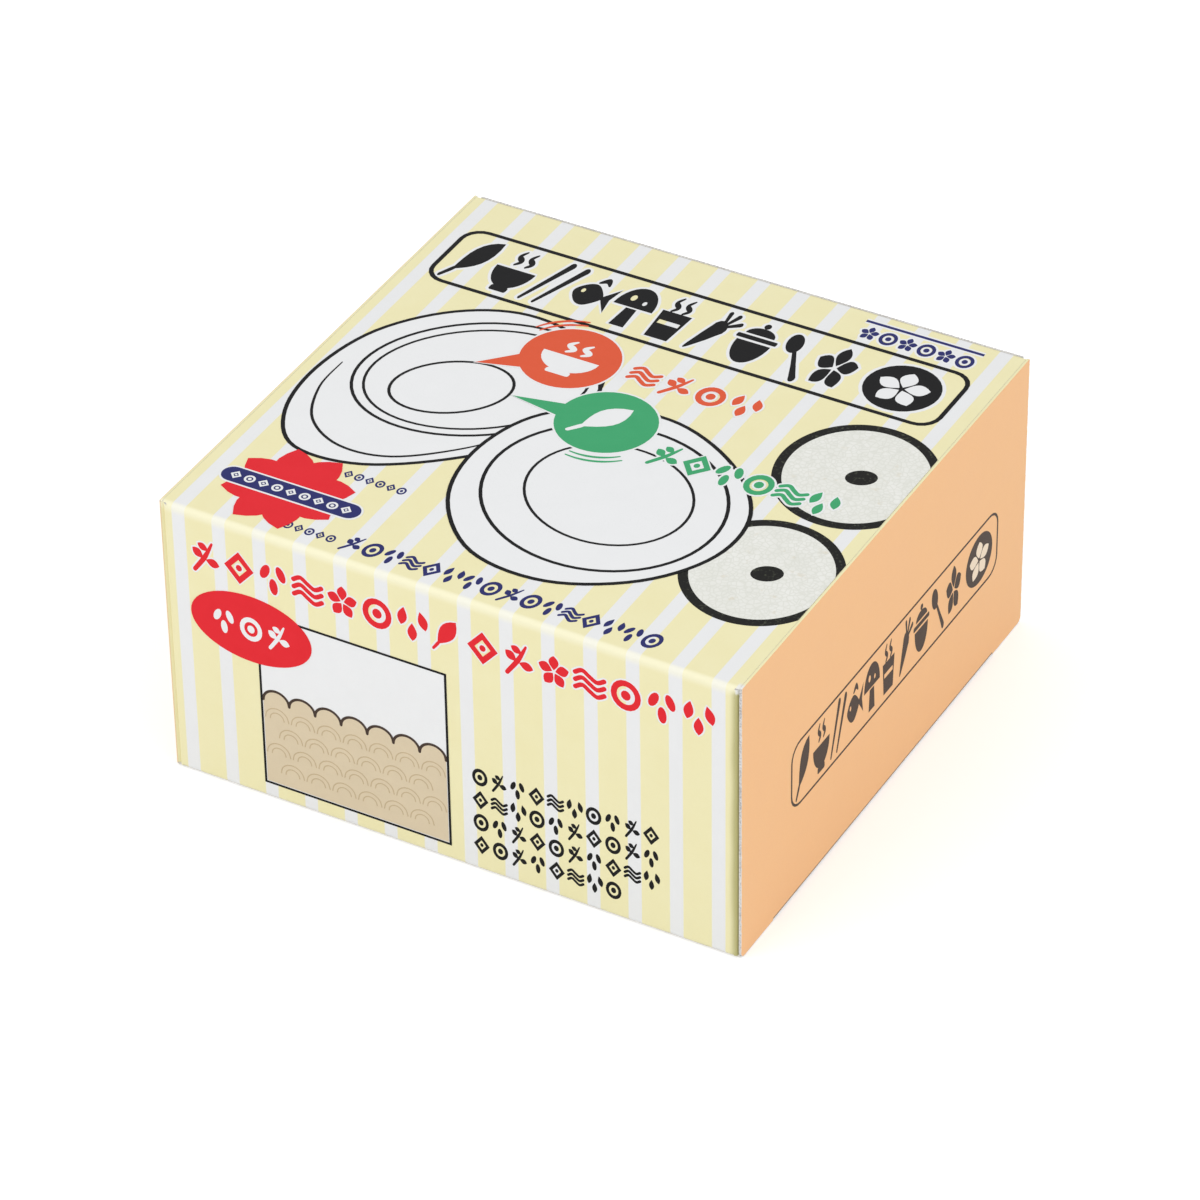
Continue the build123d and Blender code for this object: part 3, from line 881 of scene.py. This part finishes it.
press("bowl_white", "top", 0, WHITE, [[smooth_line(BOWL, closed=True)]])
press("bowl_lines", "top", 1, BLACK, [
    closed_line(BOWL, 0.8),
    oval_line(-28.0, 3.2, 24.0, 18.6, BOWL_TURN, 60, 0.64),
    oval_line(-28.0, 3.0, 21.6, 16.3, BOWL_TURN, 60, 0.55),
    oval_line(-31.0, -1.5, 12.0, 8.6, BOWL_TURN, 48, 0.6),
    [brush(BOWL_SHADE, 0.25, 0.55, 0.6, 0.55, 0.25)]])
press("dish_white", "top", 2, WHITE, [[smooth_line(DISH, closed=True)]])
press("dish_lines", "top", 3, BLACK, [
    closed_line(DISH, 0.8),
    oval_line(11.0, -18.6, 24.0, 22.0, DISH_TURN, 64, 0.7),
    oval_line(11.4, -17.6, 16.8, 14.8, DISH_TURN, 56, 0.55)])

# %% [markdown]
# Two speech discs, one orange and one green, sit over the drawings, each with a tail, a white motif and a few
# fine arcs beside it. A row of marks in the same ink goes with each.

# %% Orange and green discs
DISC_RADIUS = 9.75
ARC_RADII = (11.2, 12.5)


def disc_with_tail(x, y, tip, spread):
    """A disc whose outline runs out to a pointed tail."""
    first = math.atan2(tip[1] - y, tip[0] - x) + spread
    return [tip] + bow(x, y, DISC_RADIUS, DISC_RADIUS, first, first + 2 * (math.pi - spread), 40)


def arcs(x, y, first, last):
    """Fine arcs beside a disc, from one angle to another, in degrees."""
    first, last = math.radians(first), math.radians(last)
    return [[brush(bow(x, y, radius, radius, first, last, 6), 0.25, 0.5, 0.5, 0.25)] for radius in ARC_RADII]


orange = [[disc_with_tail(-16.0, 17.0, (-31.2, 7.6), 0.22)]]
orange += row(["ripple", "sprig", "ring", "drops"], -0.9, 20.1, 18.3, 3.1, 3.4)
press("disc_edges", "top", 4, WHITE, orange, grow=0.4)
press("orange_disc", "top", 5, ORANGE_INK, orange + arcs(-16.0, 17.0, 102, 150))
green = [[disc_with_tail(0.0, 2.0, (-19.6, 1.4), 0.2)]]
green += row(["sprig", "diamond", "grains", "ring", "ripple", "drops"], 14.9, 46.9, -2.3, 3.05, 3.5)
press("green_edges", "top", 4, WHITE, green, grow=0.4)
press("green_disc", "top", 5, GREEN_INK, green + arcs(0.0, 2.0, 262, 312))
press("disc_motifs", "top", 6, WHITE, placed("bowl", -16.0, 16.8, 6.0, 5.6) + placed("leaf", -0.4, 2.0, 5.4))

# %% [markdown]
# On the right lies a picture of rolled rice: white, grainy discs in a dark skin. The grains come from a
# Voronoi pattern, which shades the gaps between them and lifts them a little.

# %% Rice rolls
ROLLS = [(48.5, 8.5, 15.5, 16.5), (47.0, -25.5, 15.0, 16.0)]  # middle, and reach across and up
ROLL_SKIN = 1.9
CUT_AT = 59.25  # the edge of the card cuts the picture off here


def rice_finish():
    rice = Finish("printed rice", Roughness=0.5, IOR=1.45)
    sway = rice.node("ShaderNodeTexNoise", {}, {"Vector": rice.place, "Scale": 0.3, "Detail": 1.0}, "Color")
    bend = rice.node("ShaderNodeMix", {"data_type": "VECTOR"}, {0: 0.35, 4: rice.place, 5: sway}, 1)
    gaps = rice.node("ShaderNodeTexVoronoi", {"feature": "DISTANCE_TO_EDGE"},
                     {"Vector": bend, "Scale": 1.5, "Randomness": 1.0})
    grain = rice.blend(rice.noise(3.0, 3.0), colour(224, 225, 216), colour(242, 242, 238))
    grain = rice.blend(rice.rise(rice.noise(2.0, 3.0), 0.62, 0.76) * 0.5, grain, colour(212, 200, 172))
    rice.wire("Base Color", rice.blend(rice.rise(gaps, -0.1, 0.2), colour(219, 220, 211), grain))
    rice.bump(gaps, 0.01)
    return rice.material


def seaweed_finish():
    skin = Finish("printed seaweed", Roughness=0.5, Specular_IOR_Level=INK_SHINE)
    speck = skin.rise(skin.noise(0.6, 3.0), 0.55, 0.75)
    skin.wire("Base Color", skin.blend(speck * 0.6, colour(25, 25, 23), colour(88, 92, 76)))
    return skin.material


def roll(x, y, across, up):
    """Outline of a roll, cut off at the edge of the card."""
    return [[(min(a, CUT_AT), b) for a, b in oval(x, y, across, up, 0.2, 200)]]


RICE = rice_finish()
SEAWEED = seaweed_finish()
press("roll_skins", "top", 0, SEAWEED, [roll(*place) for place in ROLLS])
press("roll_rice", "top", 1, RICE, [roll(x, y, a - ROLL_SKIN, b - ROLL_SKIN) for x, y, a, b in ROLLS])
press("roll_hearts", "top", 2, SEAWEED, [[oval(x + 1.0, y, 3.0, 2.3, 0.5)] for x, y, a, b in ROLLS])

# %% [markdown]
# A red rosette with a navy band stands at the front left corner of the top, with a row of small navy marks
# beside it.

# %% Rosette and navy row
ROSETTE = [[petal(-41.0, -43.5, 12.4, 7.6, math.radians(22.5 + 45 * i))] for i in range(8)]
press("rosette", "top", 3, RED_INK, ROSETTE)
press("rosette_band_edge", "top", 4, WHITE, [[box(-54.9, -46.9, -24.9, -41.7, 2.6)]])
press("rosette_band", "top", 5, NAVY_INK, [[box(-54.5, -46.5, -25.3, -42.1, 2.2)]])
press("rosette_dots", "top", 6, WHITE, row(["diamond", "ring"] * 4 + ["diamond"], -51.6, -28.2, -44.3, 1.2))
NAVY_ROW = ["sprig", "ring", "grains", "ripple", "diamond", "drops", "grains", "ring"] * 2
press("navy_marks", "top", 0, NAVY_INK, row(NAVY_ROW, -21.8, 39.4, -52.5, 1.95, 2.45, 0.15)
      + row(["diamond", "ring"] * 3, -33.6, -22.4, -34.4, 1.0, 1.2)
      + row(["ring", "diamond"] * 2 + ["ring"], -35.2, -26.2, -53.0, 1.0, 1.2))

# %% [markdown]
# The front panel has a row of red ornaments, and a red oval over a framed picture of waves. The waves are the
# old pattern of overlapping fans.

# %% Red row and waves on the front panel
RED_ROW = row(["sprig", "diamond", "grains", "ripple", "flower", "ring", "drops", "leaf", "diamond", "sprig",
               "flower", "ripple", "ring", "grains", "drops"], -50.6, 51.4, 51.8, 3.3, 3.6)
WAVE_LEFT, WAVE_RIGHT, WAVE_FOOT = -39.6, -0.7, 4.2
WAVES, WAVE_POINTS = 7, 9
WAVE_PITCH = (WAVE_RIGHT - WAVE_LEFT) / WAVES
press("red_row_edge", "front", 0, WHITE, RED_ROW, grow=0.35)
press("red_row", "front", 1, RED_INK, RED_ROW)
press("wave_ground", "front", 0, WHITE, [[box(-40.0, 3.8, -0.3, 43.0)]])

crests = []
for i in range(WAVES):
    crests += bow(WAVE_LEFT + WAVE_PITCH * (i + 0.5), 23.2, WAVE_PITCH / 2, 2.6, math.pi, 0, WAVE_POINTS - 1)
press("wave_tan", "front", 1, TAN_INK, [[[(WAVE_LEFT, WAVE_FOOT), *crests, (WAVE_RIGHT, WAVE_FOOT)]]])

fans = []
for level in range(4):
    for i in range(WAVES + level % 2):
        middle = WAVE_LEFT + WAVE_PITCH * (i + 0.5 - 0.5 * (level % 2))
        for radius in (2.5, 1.5):
            points = [(max(-39.4, min(-0.9, x)), y)
                      for x, y in bow(middle, 19.3 - 4.1 * level, radius, radius, 0, math.pi, 6)]
            if points[0][0] - points[-1][0] > radius:
                fans.append([brush(points, 0.22)])
press("wave_lines", "front", 2, BROWN_INK,
      [[brush(crests[i:i + WAVE_POINTS], 0.55)] for i in range(0, len(crests), WAVE_POINTS)])
press("wave_fans", "front", 2, FAN_INK, fans)
press("wave_frame", "front", 3, BLACK, [[box(-40.2, 3.6, -0.1, 43.2), box(-39.75, 4.05, -0.55, 42.75)]])
press("red_oval", "front", 4, RED_INK, [[oval(-41.4, 38.6, 12.9, 7.5, 0, 56)]])
press("oval_motifs", "front", 5, WHITE, row(["grains", "ring", "sprig"], -47.2, -35.6, 38.6, 2.6, 2.9))

# %% [markdown]
# Beside the waves stands a block of small black marks: four lines of one list. Each line begins three marks
# later than the line above, and the last is shorter.

# %% Block of marks
BLOCK = ["ring", "sprig", "grains", "diamond", "ripple", "drops", "ring", "grains", "sprig", "diamond"]
BLOCK_PITCH = 3.93
block = []
for line, count in enumerate((10, 10, 10, 8)):
    names = (BLOCK[line * 3:] + BLOCK[:line * 3])[:count]
    block += row(names, 6.3, 6.3 + BLOCK_PITCH * (count - 1), 21.9 - 5.25 * line, 1.75, 2.15)
press("block_marks", "front", 0, BLACK, block)

# %% [markdown]
# Each end repeats the title, smaller and in a thin frame, in dark brown on the orange.

# %% Prints on the ends
END_ROW = row(TITLE, -33.4, 27.0, 27.5, 3.3, 5.7)
END_DISC = oval(37.8, 27.5, 5.6)
END_FRAME = [box(-38.5, 20.1, 45.8, 34.9, 3.6), box(-38.0, 20.6, 45.3, 34.4, 3.2)]
for side in ("right", "left"):
    press(side + "_title", side, 0, BROWN_INK, END_ROW + [[END_DISC], END_FRAME])
    press(side + "_title_flower", side, 1, PALE_INK, placed("flower", 37.8, 27.3, 4.3))

# %% [markdown]
# The light is that of a light tent: even and soft, with a white ground and hardly a shadow. The world gives
# most of it, two wide lamps add a little direction, and the floor and the world are plain white to the camera
# and to reflections.

# %% Floor and light
FLOOR_GLOW = 0.31  # added to the floor for the camera, which brings it up to white
SKY_LIGHT, SKY_SEEN = 0.82, 1.0


def white_ground():
    ground = Finish("studio floor", Roughness=0.9, Emission_Strength=1.0)
    rays = [ground.node("ShaderNodeLightPath", output=name)
            for name in ("Is Camera Ray", "Is Glossy Ray", "Is Transmission Ray")]
    seen = ground.maths("MAXIMUM", ground.maths("MAXIMUM", rays[0], rays[1]), rays[2])
    pale = ground.blend(ground.noise(40.0), colour(238, 238, 238), colour(242, 242, 242))
    ground.wire("Base Color", ground.blend(seen, pale, (0.9, 0.9, 0.9, 1.0)))
    ground.wire("Emission Color", ground.blend(seen, (0, 0, 0, 1), (FLOOR_GLOW, FLOOR_GLOW, FLOOR_GLOW, 1)))
    return ground.material


floor = start("floor", PLANE, size=8)
dress(floor, white_ground())
world = bpy.data.worlds.new("light tent")
bpy.context.scene.world = world
world.use_nodes = True
tree = world.node_tree
sky = tree.nodes["Background"]
path = tree.nodes.new("ShaderNodeLightPath")
seen = tree.nodes.new("ShaderNodeMath")
seen.operation = "MAXIMUM"
tree.links.new(path.outputs["Is Camera Ray"], seen.inputs[0])
tree.links.new(path.outputs["Is Glossy Ray"], seen.inputs[1])
level = tree.nodes.new("ShaderNodeMapRange")
level.inputs["To Min"].default_value = SKY_LIGHT
level.inputs["To Max"].default_value = SKY_SEEN
tree.links.new(seen.outputs[0], level.inputs["Value"])
tree.links.new(level.outputs[0], sky.inputs["Strength"])
sky.inputs["Color"].default_value = (1, 1, 1, 1)


def lamp(name, place, width, power):
    """A square lamp that faces the middle of the carton."""
    bpy.ops.object.light_add(type="AREA", location=place)
    light = bpy.context.object
    light.name = name
    light.data.size = width
    light.data.energy = power
    light.rotation_euler = (Vector((0, 0, 0.03)) - Vector(place)).to_track_quat("-Z", "Y").to_euler()
    print(name, width, "m wide,", power, "W")


lamp("left_lamp", (-0.5, -0.9, 0.7), 0.9, 3.0)
lamp("right_lamp", (1.0, -0.1, 0.6), 0.8, 2.0)

# %% [markdown]
# The camera stands where the photographer stood, above the front right corner of the carton and a long way
# off, with a long lens. Its place and turn were worked out from the carton's seven visible corners.

# %% Camera
AZIMUTH, ELEVATION, ROLL = (math.radians(angle) for angle in (29.55, 36.80, -0.87))
CAMERA_PLACE = (0.45164, -0.79801, 0.7078)
LENS = 182.56  # on Blender's sensor of 36 mm
tilt = Matrix.Rotation(math.pi / 2 - ELEVATION, 4, "X") @ Matrix.Rotation(ROLL, 4, "Z")
camera = bpy.data.objects.new("camera", bpy.data.cameras.new("camera"))
bpy.context.scene.collection.objects.link(camera)
camera.matrix_world = Matrix.Translation(CAMERA_PLACE) @ Matrix.Rotation(AZIMUTH, 4, "Z") @ tilt
camera.data.lens = LENS
camera.data.clip_start = 0.05
camera.data.clip_end = 20.0
bpy.context.scene.camera = camera
bpy.context.scene.view_settings.view_transform = "Standard"
print("camera with a lens of", LENS, "mm")
